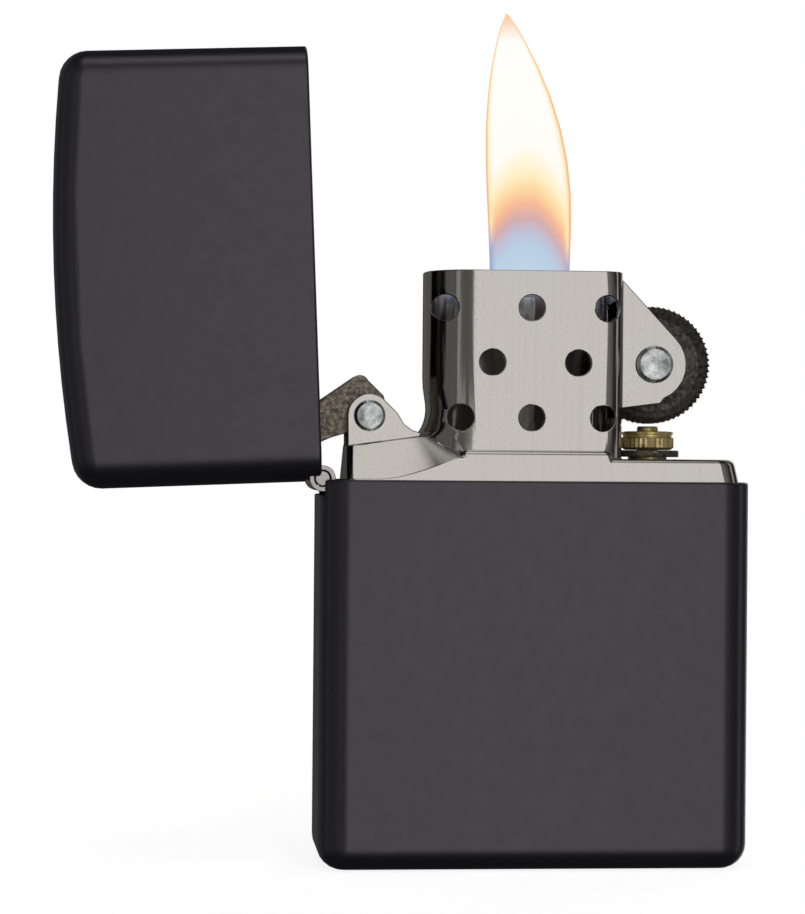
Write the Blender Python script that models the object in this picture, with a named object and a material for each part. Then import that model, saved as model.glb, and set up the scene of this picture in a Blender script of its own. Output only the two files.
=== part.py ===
"""Flip-top windproof lighter, standing open, as an assembly of its separate pieces.

The frame: X runs along the lighter's width with the hinge at -X, Y through its thickness
with the front at -Y, Z up. The origin is the centre of the underside of the case.
Every size below is in millimetres, and MM turns it into metres where a mesh is made.
"""
import math

import bmesh
import bpy
from mathutils import Matrix, Vector

MM = 0.001

# ---- driving sizes of the case and the lid
CASE_WIDTH = 38.1
CASE_DEPTH = 12.7
RIM_Z = 34.15
LID_DEPTH = 22.6
SHEET = 0.55
CORNER_R = 2.7
EDGE_R = 2.2
CROWN_R = 139.0
LID_GAP = 0.2
LIP = 0.15

# ---- hinge
HINGE_X = -18.8
HINGE_Z = RIM_Z + LID_GAP / 2
LID_OPEN_DEG = 92.4
BARREL_R = 1.15
LEAF_SHEET = 0.4
LEAF_HEIGHT = 7.5
KNUCKLES = 5
KNUCKLE_GAP = 0.3
BARREL_HALF = 4.8
CURL_DEG = 290.0
NOTCH_HALF = BARREL_HALF + 0.3
NOTCH_DEPTH = BARREL_R + 0.3
PIN_R = 0.66

# ---- insert: fuel tank and top
CLEAR = 0.3
INSERT_SHEET = 0.45
TANK_X0 = -16.7
TANK_X1 = CASE_WIDTH / 2 - SHEET - CLEAR
TANK_HALF = CASE_DEPTH / 2 - SHEET - CLEAR
TANK_CORNER_R = 1.7
TANK_Z0 = SHEET + CLEAR
TANK_EDGE_R = 1.2
TANK_Z1 = 33.7
TOP_Z0 = TANK_Z1 + CLEAR
DECK_Z = 36.15
DECK_EDGE_R = 0.5
DECK_TAPER = 0.5
DECK_X0 = -8.0

# ---- shoulder under the cam
SHOULDER_X1 = -6.0
SHOULDER_CORNER_R = 0.2
PLATEAU_X0 = -16.6
PLATEAU_X1 = -8.0
PLATEAU_Z0 = 37.1
PLATEAU_Z1 = 38.3
PLATEAU_HALF = 3.0
CREASE_X0 = -13.4
CREASE_X1 = -7.0
CREASE_RISE = 2.0

# ---- chimney
CHIMNEY_X0 = -9.65
CHIMNEY_X1 = 7.75
CHIMNEY_HALF = 5.1
CHIMNEY_TOP = 52.65
CHIMNEY_LEFT_R = 4.4
CHIMNEY_RIGHT_R = 1.9
# height, and how far the round end stands out there beyond CHIMNEY_X0
CHIMNEY_FLARE = (
    (36.0, 0.65), (38.1, 0.65), (38.45, 0.35), (38.85, 0.08), (39.3, -0.12), (39.8, -0.26),
    (40.4, -0.33), (41.0, -0.28), (41.7, -0.16), (42.4, -0.05), (43.2, 0.0),
)
FOOT_X0 = -6.9
FOOT_X1 = 6.75
FOOT_RINGS = ((34.6, 0.0), (36.3, 0.0), (36.55, 0.08), (36.75, 0.3), (36.85, 0.5))
AIR_HOLE_R = 1.15
# height of each row of air holes, then the holes in the front wall and in the back wall
AIR_HOLE_ROWS = (
    (49.35, (-8.1, -0.55, 6.2), (-3.9, 3.9)),
    (44.55, (-4.0, 3.6), (-6.6, 1.2)),
    (39.7, (-6.75, -0.5, 5.85), (-2.5, 4.1)),
)

# ---- striker wheel and its ears
WHEEL_X = 10.65
WHEEL_Z = 44.55
WHEEL_R = 5.25
WHEEL_HALF = 2.5
WHEEL_TEETH = 48
TOOTH_DEPTH = 0.22
WHEEL_EAR_R = 3.3
WHEEL_EAR_OFF = -0.4
WHEEL_EAR_FOOT = ((7.45, 40.6), (11.2, 41.1))
WHEEL_EAR_PEAK = ((7.95, 51.85), (7.45, 52.3))
WHEEL_EAR_IN = 2.8
WHEEL_EAR_OUT = 3.3
WHEEL_RIVET_R = 0.8
WHEEL_RIVET_HEAD_R = 1.65

WHEEL_SLOT_Z0 = 39.85
RIVET_CLEAR = 0.15

# ---- cam and its ears
CAM_X = -14.6
CAM_Z = 39.8
CAM_HALF = 1.9
CAM_HUB_R = 1.75
CAM_EAR_IN = 2.3
CAM_EAR_OUT = 2.8
CAM_EAR_R = 1.95
# points given from the pivot: the ear's foot and sloping side, then the lever's outline
CAM_EAR_FOOT = ((-1.9, -2.9), (4.3, -2.0), (4.6, -1.5), (3.8, -1.25), (3.1, -0.75), (2.45, 0.3))
CAM_BACK = (1.3, 1.8)
CAM_PEAK = (-0.8, 2.8)
CAM_PEAK_R = 0.8
CAM_NECK = (-4.3, 1.35)
CAM_TIP = (-5.1, -0.7)
CAM_TIP_R = 1.1
CAM_BELLY = ((-5.8, -2.0), (-5.3, -2.6), (-4.3, -2.4), (-3.3, -1.95), (-2.1, -1.6))
CAM_RIVET_R = 0.7
CAM_RIVET_HEAD_R = 1.38

# along X: the flat spring's middle line in y, its half width, and the height of its underside
CAM_SPRING_STATIONS = (
    (17.0, 0.0, 3.0, 34.75), (14.6, 0.0, 3.4, 34.75), (6.6, 0.0, 3.4, 34.75),
    (4.0, -2.6, 0.9, 34.75), (-6.5, -2.8, 0.9, 34.95), (-9.5, -1.2, 0.9, 36.4),
    (-12.7, 0.0, 1.2, 36.8), (-13.8, 0.0, 1.2, 37.35), (-15.6, 0.0, 1.2, 37.35),
)
CAM_SPRING_SHEET = 0.25

# ---- flint train, all on one upright axis under the wheel
FLINT_X = 10.66
FLINT_R = 0.95
FLINT_Z0 = 33.2
FLINT_Z1 = WHEEL_Z - WHEEL_R - 0.2
TUBE_R = 1.75
TUBE_BORE_R = 1.3
TUBE_Z0 = 2.0
TUBE_Z1 = 36.8
WASHER_R = 2.8
WASHER_Z0 = 36.35
WASHER_Z1 = 36.95
COLLAR_R = 2.35
COLLAR_Z0 = 37.1
COLLAR_Z1 = 38.65
COLLAR_RIDGES = 20
SPRING_R = 0.92
SPRING_WIRE_R = 0.16
SPRING_TURNS = 13
SCREW_HEAD_R = 2.3
SCREW_HEAD_Z0 = 0.9
SCREW_HEAD_Z1 = 1.7
SCREW_R = 1.0
SCREW_Z1 = 4.6

# ---- wick, packing and felt
WICK_R = 1.2
WICK_X = -0.8
WICK_TOP = 50.5
WICK_BEND = 3.6
PACK_HALF = 4.6
# each wad's ends along X, then its bottom and top
PACK_SPACES = (
    (-15.6, -4.6, 28.9, 33.6),
    (1.0, 8.2, 20.2, 33.6),
    (-9.6, -0.2, 20.2, 24.1),
    (-15.6, 3.4, 12.8, 16.8),
    (-15.6, 8.2, 4.0, 9.4),
)
FELT_Z0 = 1.0
FELT_Z1 = 3.2

# ---- fineness of round shapes
CORNER_STEPS = 6
CROWN_STEPS = 10
ROUND_STEPS = 32


def clear_scene():
    for obj in list(bpy.data.objects):
        bpy.data.objects.remove(obj, do_unlink=True)


def make_material(name, color, roughness, metallic):
    material = bpy.data.materials.new(name)
    material.use_nodes = True
    shader = material.node_tree.nodes["Principled BSDF"]
    shader.inputs["Base Color"].default_value = (*color, 1.0)
    shader.inputs["Roughness"].default_value = roughness
    shader.inputs["Metallic"].default_value = metallic
    material.diffuse_color = (*color, 1.0)
    return material


def make_object(name, bm, finish=None, smooth_deg=35.0):
    """A new object from a bmesh drawn in millimetres, with every normal facing out."""
    bmesh.ops.recalc_face_normals(bm, faces=bm.faces)
    bmesh.ops.scale(bm, vec=(MM, MM, MM), verts=bm.verts)
    mesh = bpy.data.meshes.new(name)
    bm.to_mesh(mesh)
    bm.free()
    mesh.shade_smooth()
    mesh.set_sharp_from_angle(angle=math.radians(smooth_deg))
    obj = bpy.data.objects.new(name, mesh)
    bpy.context.collection.objects.link(obj)
    if finish:
        mesh.materials.append(make_material(name, *finish))
    return obj


def combine(obj, other, operation, smooth_deg=35.0):
    """Cut other out of obj, or join it on, and remove other."""
    modifier = obj.modifiers.new(operation.lower(), "BOOLEAN")
    modifier.operation = operation
    modifier.solver = "EXACT"
    modifier.object = other
    bpy.context.view_layer.objects.active = obj
    bpy.ops.object.modifier_apply(modifier=modifier.name)
    bpy.data.objects.remove(other, do_unlink=True)
    obj.data.shade_smooth()
    obj.data.set_sharp_from_angle(angle=math.radians(smooth_deg))
    return obj


def set_origin(obj, point):
    """Put the object's origin on a point given in millimetres, leaving its mesh where it is."""
    place = Vector(point) * MM
    obj.data.transform(Matrix.Translation(-place))
    obj.location = place
    return obj


# ---- outlines

def arc(cx, cy, radius, start_deg, end_deg, steps):
    """Points along an arc, both ends included."""
    points = []
    for i in range(steps + 1):
        angle = math.radians(start_deg + (end_deg - start_deg) * i / steps)
        points.append((cx + radius * math.cos(angle), cy + radius * math.sin(angle)))
    return points


def plan_ring(x0, x1, half, left_r, right_r, steps=CORNER_STEPS, side_steps=1):
    """A rounded rectangle, counter-clockwise, whose point i mirrors point n-1-i across y = 0."""
    upper = arc(x1 - right_r, half - right_r, right_r, 0, 90, steps)
    for i in range(1, side_steps):
        upper.append((x1 - right_r + (x0 + left_r - x1 + right_r) * i / side_steps, half))
    upper += arc(x0 + left_r, half - left_r, left_r, 90, 180, steps)
    return upper + [(x, -y) for x, y in reversed(upper)]


def edge_profile(radius, base_z, direction, steps, inset=0.0):
    """(inset, z) points of a quarter-round edge, from the flat end to the upright wall."""
    points = []
    for i in range(steps + 1):
        turn = math.radians(90.0 * i / steps)
        points.append(
            (inset + radius * (1 - math.sin(turn)), base_z + direction * radius * (1 - math.cos(turn)))
        )
    return points


# ---- solids

def loft(rings, closed=False):
    """Skin a stack of rings. Open stacks get caps made of strips from front to back."""
    bm = bmesh.new()
    rows = [[bm.verts.new(p) for p in ring] for ring in rings]
    count = len(rows[0])
    pairs = list(zip(rows, rows[1:]))
    if closed:
        pairs.append((rows[-1], rows[0]))
    for low, high in pairs:
        for i in range(count):
            j = (i + 1) % count
            bm.faces.new((low[i], low[j], high[j], high[i]))
    if not closed:
        for row in (rows[0], rows[-1]):
            for i in range(count // 2 - 1):
                bm.faces.new((row[i], row[i + 1], row[count - 2 - i], row[count - 1 - i]))
    return bm


def prism(outline, y0, y1):
    """An outline in X and Z, extruded along Y."""
    bm = bmesh.new()
    front = [bm.verts.new((x, y0, z)) for x, z in outline]
    back = [bm.verts.new((x, y1, z)) for x, z in outline]
    for i in range(len(outline)):
        j = (i + 1) % len(outline)
        bm.faces.new((front[i], front[j], back[j], back[i]))
    bm.faces.new(front)
    bm.faces.new(list(reversed(back)))
    return bm


def box(x0, x1, y0, y1, z0, z1):
    return prism([(x0, z0), (x1, z0), (x1, z1), (x0, z1)], y0, y1)


def turned(profile, center, axis="Z", steps=ROUND_STEPS, ridge=0.0, ridged_from=1e9):
    """Turn (radius, height) points about an axis through center.

    Profile points with a radius of zero close on the axis. Where radius is ridged_from or more,
    every other point of the ring is drawn in by ridge, which makes teeth or knurling.
    """
    closed = profile[0][0] > 0
    bm = bmesh.new()
    rows = []
    for radius, height in profile:
        row = []
        for i in range(steps):
            angle = 2 * math.pi * i / steps
            r = radius - (ridge if radius >= ridged_from and i % 2 else 0.0)
            a, b = r * math.cos(angle), r * math.sin(angle)
            offset = (a, b, height) if axis == "Z" else (a, height, b)
            row.append(bm.verts.new([c + o for c, o in zip(center, offset)]))
            if radius == 0:
                break
        rows.append(row)
    pairs = list(zip(rows, rows[1:]))
    if closed:
        pairs.append((rows[-1], rows[0]))
    for low, high in pairs:
        for i in range(steps):
            j = (i + 1) % steps
            if len(low) == 1:
                bm.faces.new((low[0], high[j], high[i]))
            elif len(high) == 1:
                bm.faces.new((low[i], low[j], high[0]))
            else:
                bm.faces.new((low[i], low[j], high[j], high[i]))
    return bm


def strip_outline(path, thickness):
    """The closed outline of a bent strip whose middle line is path."""
    left, right = [], []
    for i, point in enumerate(path):
        before = Vector(path[max(i - 1, 0)])
        after = Vector(path[min(i + 1, len(path) - 1)])
        along = (after - before).normalized()
        across = Vector((-along.y, along.x)) * thickness / 2
        left.append(tuple(Vector(point) + across))
        right.append(tuple(Vector(point) - across))
    return left + right[::-1]


def tube_along(path, radius, sides=8):
    """A round rod that follows a smooth path of points, with flat ends."""
    bm = bmesh.new()
    rows = []
    normal = Vector((0, 1, 0))
    for i, point in enumerate(path):
        before = Vector(path[max(i - 1, 0)])
        after = Vector(path[min(i + 1, len(path) - 1)])
        along = (after - before).normalized()
        normal = (normal - along * normal.dot(along)).normalized()
        side = along.cross(normal)
        row = []
        for k in range(sides):
            angle = 2 * math.pi * k / sides
            offset = (normal * math.cos(angle) + side * math.sin(angle)) * radius
            row.append(bm.verts.new(Vector(point) + offset))
        rows.append(row)
    for low, high in zip(rows, rows[1:]):
        for i in range(sides):
            j = (i + 1) % sides
            bm.faces.new((low[i], low[j], high[j], high[i]))
    bm.faces.new(rows[0])
    bm.faces.new(list(reversed(rows[-1])))
    return bm


# ---- finishes: colour, roughness, metallic
BLACK_PAINT = ((0.035, 0.035, 0.04), 0.45, 0.0)
BRIGHT_STEEL = ((0.62, 0.61, 0.59), 0.28, 1.0)
SATIN_STEEL = ((0.55, 0.54, 0.52), 0.38, 1.0)
DARK_STEEL = ((0.12, 0.11, 0.10), 0.5, 1.0)
CAM_STEEL = ((0.30, 0.27, 0.24), 0.55, 1.0)
BRASS = ((0.50, 0.36, 0.16), 0.42, 1.0)
SPRING_STEEL = ((0.35, 0.35, 0.36), 0.35, 1.0)
COTTON = ((0.80, 0.78, 0.72), 0.95, 0.0)
FELT = ((0.62, 0.62, 0.60), 0.95, 0.0)


# ---- case and lid

def shell_rings(height, crown, base_z=0.0, direction=1):
    """Rings of a drawn cup from its outer end, over its rim, to its inner end."""
    outer = edge_profile(EDGE_R, base_z, direction, 6)
    rim = base_z + direction * height
    outer += [(0.0, rim - direction * LIP), (LIP, rim)]
    inner = [(SHEET - LIP, rim), (SHEET, rim - direction * LIP)]
    inner += edge_profile(EDGE_R - SHEET, base_z + direction * SHEET, direction, 4, SHEET)[::-1]
    half_width = CASE_WIDTH / 2
    rings = []
    for inset, z in outer + inner:
        corner = CORNER_R - inset
        ring = plan_ring(
            inset - half_width, half_width - inset, CASE_DEPTH / 2 - inset, corner, corner,
            side_steps=CROWN_STEPS if crown else 1,
        )
        bowed = crown and abs(z - base_z) < EDGE_R + SHEET
        rings.append([(x, y, z - x * x / (2 * CROWN_R) if bowed else z) for x, y in ring])
    return rings


def hinge_notch(up):
    """The bite taken out of a shell's end wall to clear the hinge barrel."""
    z0, z1 = (HINGE_Z - 3, HINGE_Z + NOTCH_DEPTH) if up else (HINGE_Z - NOTCH_DEPTH, HINGE_Z + 3)
    return make_object(
        "notch", box(HINGE_X - 2, HINGE_X + 1.6, -NOTCH_HALF, NOTCH_HALF, z0, z1)
    )


def case_shell():
    shell = make_object("case_shell", loft(shell_rings(RIM_Z, crown=False)), BLACK_PAINT)
    return combine(shell, hinge_notch(up=False), "DIFFERENCE")


def lid_shell():
    top = RIM_Z + LID_GAP + LID_DEPTH
    rings = shell_rings(LID_DEPTH, crown=True, base_z=top, direction=-1)
    shell = make_object("lid_shell", loft(rings), BLACK_PAINT)
    return combine(shell, hinge_notch(up=True), "DIFFERENCE")


def hinge_leaf(name, up):
    """A flat leaf inside the end wall, its edge curled into knuckles about the pin."""
    way = 1 if up else -1
    middle_r = BARREL_R - LEAF_SHEET / 2
    path = [(HINGE_X + middle_r, HINGE_Z + way * LEAF_HEIGHT), (HINGE_X + middle_r, HINGE_Z + way * 0.6)]
    path += arc(HINGE_X, HINGE_Z, middle_r, 0, -way * CURL_DEG, 18)
    leaf = make_object(
        name, prism(strip_outline(path, LEAF_SHEET), -BARREL_HALF, BARREL_HALF), BRIGHT_STEEL
    )
    length = (2 * BARREL_HALF - (KNUCKLES - 1) * KNUCKLE_GAP) / KNUCKLES
    first_cut = 0 if up else 1
    for i in range(first_cut, KNUCKLES, 2):
        y0 = -BARREL_HALF + i * (length + KNUCKLE_GAP)
        z0, z1 = HINGE_Z - way * 3, HINGE_Z + way * NOTCH_DEPTH
        cut = box(
            HINGE_X - 2, HINGE_X + 2, y0 - KNUCKLE_GAP, y0 + length + KNUCKLE_GAP, min(z0, z1), max(z0, z1)
        )
        combine(leaf, make_object("cut", cut), "DIFFERENCE")
    return leaf


def hinge_pin():
    end = BARREL_HALF - 0.05
    profile = [(0, -end), (PIN_R, -end), (PIN_R, end), (0, end)]
    return make_object("hinge_pin", turned(profile, (HINGE_X, 0, HINGE_Z), "Y", 16), BRIGHT_STEEL)


# ---- insert

def fuel_tank():
    """The open-ended can that holds the packing, its lower edge curled in."""
    outside = edge_profile(TANK_EDGE_R, TANK_Z0, 1, 4) + [(0.0, TANK_Z1)]
    inside = [(INSERT_SHEET, TANK_Z1)]
    inside += edge_profile(
        TANK_EDGE_R - INSERT_SHEET, TANK_Z0 + INSERT_SHEET, 1, 4, INSERT_SHEET
    )[::-1]
    rings = []
    for inset, z in outside + inside:
        corner = TANK_CORNER_R - inset
        ring = plan_ring(TANK_X0 + inset, TANK_X1 - inset, TANK_HALF - inset, corner, corner, 4)
        rings.append([(x, y, z) for x, y in ring])
    return make_object("fuel_tank", loft(rings, closed=True), SATIN_STEEL)


def deck_block(inner):
    """The low flat deck on the wheel's side, or the hollow under it."""
    inset = INSERT_SHEET if inner else 0.0
    base = TOP_Z0 - 1.0 if inner else TOP_Z0
    radius = DECK_EDGE_R - inset
    rings = [(inset, base)] + edge_profile(radius, DECK_Z - inset, -1, 4, inset)[::-1]
    rows = []
    for edge, z in rings:
        corner = TANK_CORNER_R - edge
        end = TANK_X1 - edge - DECK_TAPER * (z - base) / (DECK_Z - base)
        ring = plan_ring(DECK_X0 + edge, end, TANK_HALF - edge, 0.2, corner, 5)
        rows.append([(x, y, z) for x, y in ring])
    return loft(rows)


def crease_z(x):
    """Height at which the flat front face gives way to the shoulder's slope."""
    share = min(max((x - CREASE_X0) / (CREASE_X1 - CREASE_X0), 0.0), 1.0)
    return TOP_Z0 + 0.2 + CREASE_RISE * share ** 1.4


def shoulder_block(inner):
    """The hipped shoulder that narrows up to the cam's ears, or the hollow under it."""
    inset = INSERT_SHEET if inner else 0.0
    base = TOP_Z0 - 1.0 if inner else TOP_Z0
    rows = []
    corner = SHOULDER_CORNER_R if inner else SHOULDER_CORNER_R + INSERT_SHEET
    foot = plan_ring(TANK_X0 + inset, SHOULDER_X1 - inset, TANK_HALF - inset, corner, 0.3, 5, 8)
    plateau = plan_ring(
        PLATEAU_X0 + inset, PLATEAU_X1 - inset, PLATEAU_HALF - inset, 0.6, 0.3, 5, 8
    )
    rise = (PLATEAU_Z1 - PLATEAU_Z0) / (PLATEAU_X1 - PLATEAU_X0)
    top = [(x, y, PLATEAU_Z0 - inset + rise * (x - PLATEAU_X0)) for x, y in plateau]
    rows.append([(x, y, base) for x, y in foot])
    rows.append([(x, y, crease_z(x) - inset * 0.5) for x, y in foot])
    rows.append(top)
    return loft(rows)


def chimney_block(inner):
    """The tall wind guard, round at the cam's end, or the space inside it."""
    inset = INSERT_SHEET if inner else 0.0
    base, top = (TOP_Z0 - 1.0, CHIMNEY_TOP + 1.0) if inner else (TOP_Z0 + 0.6, CHIMNEY_TOP)
    stations = ((base, CHIMNEY_FLARE[0][1]), *CHIMNEY_FLARE, (top, 0.0))
    rows = []
    for z, flare in stations:
        ring = plan_ring(
            CHIMNEY_X0 - flare + inset, CHIMNEY_X1 - inset, CHIMNEY_HALF - inset,
            CHIMNEY_LEFT_R + flare - inset, CHIMNEY_RIGHT_R - inset, 7,
        )
        rows.append([(x, y, z) for x, y in ring])
    return loft(rows)


def foot_block():
    """The low step round the chimney's foot, flush with the tank's walls."""
    rows = []
    for z, inset in FOOT_RINGS:
        ring = plan_ring(FOOT_X0 + inset, FOOT_X1 - inset, TANK_HALF - inset, 0.6, 0.6, 4)
        rows.append([(x, y, z) for x, y in ring])
    return loft(rows)


def wheel_ear_outline():
    round_end = arc(WHEEL_X + WHEEL_EAR_OFF, WHEEL_Z, WHEEL_EAR_R, -68, 45, 8)
    return [*WHEEL_EAR_FOOT, *round_end, *WHEEL_EAR_PEAK]


def from_pivot(points):
    """Points given from the cam's pivot, as (x, z)."""
    return [(CAM_X + x, CAM_Z + z) for x, z in points]


def cam_ear_outline():
    return from_pivot(CAM_EAR_FOOT) + arc(CAM_X, CAM_Z, CAM_EAR_R, 38, 180, 9)


def drill(x, z, radius, y0, y1, steps=20):
    """A drill along Y through the point (x, z)."""
    profile = [(0, y0), (radius, y0), (radius, y1), (0, y1)]
    return make_object("drill", turned(profile, (x, 0, z), "Y", steps))


def chimney_top():
    """The insert's drawn top: deck, hipped shoulder, chimney and both pairs of ears in one sheet."""
    top = make_object("chimney_top", deck_block(inner=False), BRIGHT_STEEL)
    for block in (shoulder_block, chimney_block):
        combine(top, make_object("outside", block(inner=False)), "UNION")
    combine(top, make_object("foot", foot_block()), "UNION")
    for block in (deck_block, shoulder_block, chimney_block):
        combine(top, make_object("hollow", block(inner=True)), "DIFFERENCE")
    # the two walls' holes are staggered, which shields the wick from the wind
    for z, front, back in AIR_HOLE_ROWS:
        for x in front:
            combine(top, drill(x, z, AIR_HOLE_R, -CHIMNEY_HALF - 1, -1), "DIFFERENCE")
        for x in back:
            combine(top, drill(x, z, AIR_HOLE_R, 1, CHIMNEY_HALF + 1), "DIFFERENCE")
    slot = box(
        WHEEL_X - WHEEL_R - 0.6, CHIMNEY_X1 + 0.6, -WHEEL_EAR_IN + 0.05, WHEEL_EAR_IN - 0.05,
        WHEEL_SLOT_Z0, WHEEL_Z + WHEEL_R + 0.3,
    )
    combine(top, make_object("slot", slot), "DIFFERENCE")
    flint_hole = turned(
        [(0, TOP_Z0), (TUBE_R + CLEAR, TOP_Z0), (TUBE_R + CLEAR, DECK_Z + 1), (0, DECK_Z + 1)],
        (FLINT_X, 0, 0), "Z", 20,
    )
    combine(top, make_object("flint_hole", flint_hole), "DIFFERENCE")
    spring_slot = box(CAM_X - 1.4, CAM_X + 2.2, -1.9, 1.9, TOP_Z0 + 0.6, CAM_Z)
    combine(top, make_object("spring_slot", spring_slot), "DIFFERENCE")
    for side in (-1, 1):
        for outline, inner, outer in (
            (wheel_ear_outline(), WHEEL_EAR_IN, WHEEL_EAR_OUT),
            (cam_ear_outline(), CAM_EAR_IN, CAM_EAR_OUT),
        ):
            y0, y1 = sorted((side * inner, side * outer))
            combine(top, make_object("ear", prism(outline, y0, y1)), "UNION")
    for x, z, radius, outer in (
        (WHEEL_X, WHEEL_Z, WHEEL_RIVET_R, WHEEL_EAR_OUT), (CAM_X, CAM_Z, CAM_RIVET_R, CAM_EAR_OUT),
    ):
        combine(top, drill(x, z, radius + RIVET_CLEAR, -outer - 1, outer + 1), "DIFFERENCE")
    return top


def rivet(name, x, z, shank_r, head_r, ear_outer, head_height, finish):
    """A shank through both ears, with a low domed head outside each."""
    face = ear_outer + 0.2
    dome = [
        (head_r, face), (head_r, face + head_height * 0.35),
        (head_r * 0.82, face + head_height * 0.85), (head_r * 0.4, face + head_height),
        (0, face + head_height),
    ]
    mirrored = [(r, -y) for r, y in reversed(dome)]
    profile = mirrored + [(shank_r, -face), (shank_r, face)] + dome
    return make_object(name, turned(profile, (x, 0, z), "Y", 24), finish)


def cam():
    """The lever that snaps the lid, drawn with its tongue lying out over the rim."""
    peak, tip = from_pivot((CAM_PEAK, CAM_TIP))
    outline = arc(CAM_X, CAM_Z, CAM_HUB_R, -140, 15, 9) + from_pivot([CAM_BACK])
    outline += arc(*peak, CAM_PEAK_R, 25, 122, 5) + from_pivot([CAM_NECK])
    outline += arc(*tip, CAM_TIP_R, 110, 200, 5) + from_pivot(CAM_BELLY)
    lever = make_object("cam", prism(outline, -CAM_HALF, CAM_HALF), CAM_STEEL)
    combine(lever, drill(CAM_X, CAM_Z, CAM_RIVET_R + 0.1, -CAM_HALF - 1, CAM_HALF + 1), "DIFFERENCE")
    return set_origin(lever, (CAM_X, 0, CAM_Z))


def cam_spring():
    """The flat spring under the top, from the deck round the flint tube to the cam's heel."""
    rings = []
    for x, y, half, z in CAM_SPRING_STATIONS:
        top = z + CAM_SPRING_SHEET
        rings.append([(x, y + half, z), (x, y + half, top), (x, y - half, top), (x, y - half, z)])
    spring = make_object("cam_spring", loft(rings), SPRING_STEEL, 60)
    hole = turned([(0, 34), (TUBE_R + 0.4, 34), (TUBE_R + 0.4, 36), (0, 36)], (FLINT_X, 0, 0), "Z", 20)
    return combine(spring, make_object("hole", hole), "DIFFERENCE")


# ---- striker and flint train

def striker_wheel():
    edge = WHEEL_R - 0.35
    half = WHEEL_HALF
    bore = WHEEL_RIVET_R + 0.1
    profile = [
        (bore, -half), (2.6, -half), (2.9, 0.4 - half), (edge - 0.5, 0.4 - half), (edge, 0.15 - half),
        (WHEEL_R, 0.6 - half), (WHEEL_R, half - 0.6), (edge, half - 0.15), (edge - 0.5, half - 0.4),
        (2.9, half - 0.4), (2.6, half), (bore, half),
    ]
    bm = turned(profile, (WHEEL_X, 0, WHEEL_Z), "Y", 2 * WHEEL_TEETH, TOOTH_DEPTH, edge)
    return set_origin(make_object("striker_wheel", bm, DARK_STEEL, 20), (WHEEL_X, 0, WHEEL_Z))


def flint_tube():
    profile = [(TUBE_BORE_R, TUBE_Z0), (TUBE_R, TUBE_Z0), (TUBE_R, TUBE_Z1), (TUBE_BORE_R, TUBE_Z1)]
    return make_object("flint_tube", turned(profile, (FLINT_X, 0, 0), "Z", 20), BRASS)


def flint_tube_washer():
    bore = TUBE_R + 0.2
    profile = [(bore, WASHER_Z0), (WASHER_R, WASHER_Z0), (WASHER_R, WASHER_Z1), (bore, WASHER_Z1)]
    return make_object("flint_tube_washer", turned(profile, (FLINT_X, 0, 0)), DARK_STEEL)


def flint_tube_collar():
    bore = FLINT_R + 0.2
    rim = COLLAR_R - 0.2
    profile = [
        (bore, COLLAR_Z0), (rim, COLLAR_Z0), (COLLAR_R, COLLAR_Z0 + 0.2), (COLLAR_R, COLLAR_Z1 - 0.3),
        (rim, COLLAR_Z1), (bore, COLLAR_Z1),
    ]
    bm = turned(profile, (FLINT_X, 0, 0), "Z", 2 * COLLAR_RIDGES, 0.14, COLLAR_R)
    return make_object("flint_tube_collar", bm, BRASS, 20)


def flint():
    tip = FLINT_Z1
    profile = [(0, FLINT_Z0), (FLINT_R, FLINT_Z0), (FLINT_R, tip - 0.1), (FLINT_R - 0.1, tip), (0, tip)]
    return make_object("flint", turned(profile, (FLINT_X, 0, 0), "Z", 20), BRASS)


def flint_pusher():
    """The plug on top of the spring that the flint rests on."""
    top = FLINT_Z0 - 0.2
    profile = [
        (0, top - 3.2), (0.55, top - 3.2), (0.55, top - 1.5), (FLINT_R, top - 1.5), (FLINT_R, top), (0, top),
    ]
    return make_object("flint_pusher", turned(profile, (FLINT_X, 0, 0), "Z", 16), BRASS)


def flint_spring():
    low = SCREW_Z1 + 0.5
    high = FLINT_Z0 - 2.1
    steps = SPRING_TURNS * 10
    path = []
    for i in range(steps + 1):
        angle = 2 * math.pi * SPRING_TURNS * i / steps
        height = low + (high - low) * i / steps
        path.append(
            (FLINT_X + SPRING_R * math.cos(angle), SPRING_R * math.sin(angle), height)
        )
    return make_object("flint_spring", tube_along(path, SPRING_WIRE_R, 5), SPRING_STEEL)


def flint_screw():
    profile = [
        (0, SCREW_HEAD_Z0), (SCREW_HEAD_R, SCREW_HEAD_Z0), (SCREW_HEAD_R, SCREW_HEAD_Z1),
        (SCREW_R, SCREW_HEAD_Z1), (SCREW_R, SCREW_Z1), (0, SCREW_Z1),
    ]
    screw = make_object("flint_screw", turned(profile, (FLINT_X, 0, 0), "Z", 24), BRASS)
    slot = box(FLINT_X - 3, FLINT_X + 3, -0.3, 0.3, SCREW_HEAD_Z0 - 1, SCREW_HEAD_Z0 + 0.4)
    combine(screw, make_object("slot", slot), "DIFFERENCE")
    return set_origin(screw, (FLINT_X, 0, SCREW_HEAD_Z0))


# ---- wick, packing and felt

def wick():
    """Down the chimney, then in bends between the packing."""
    path = [(WICK_X, WICK_TOP), (WICK_X, 44.0), (WICK_X, 36.0), (WICK_X, 29.2)]
    path += arc(WICK_X - WICK_BEND, 29.2, WICK_BEND, 0, -90, 6)[1:]
    path += arc(-10.2, 22.0, WICK_BEND, 90, 270, 10)
    path += arc(4.2, 14.8, WICK_BEND, 90, -90, 10)
    path += [(-12.0, 11.2)]
    points = [(x, 0.0, z) for x, z in path]
    return make_object("wick", tube_along(points, WICK_R, 10), COTTON)


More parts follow.
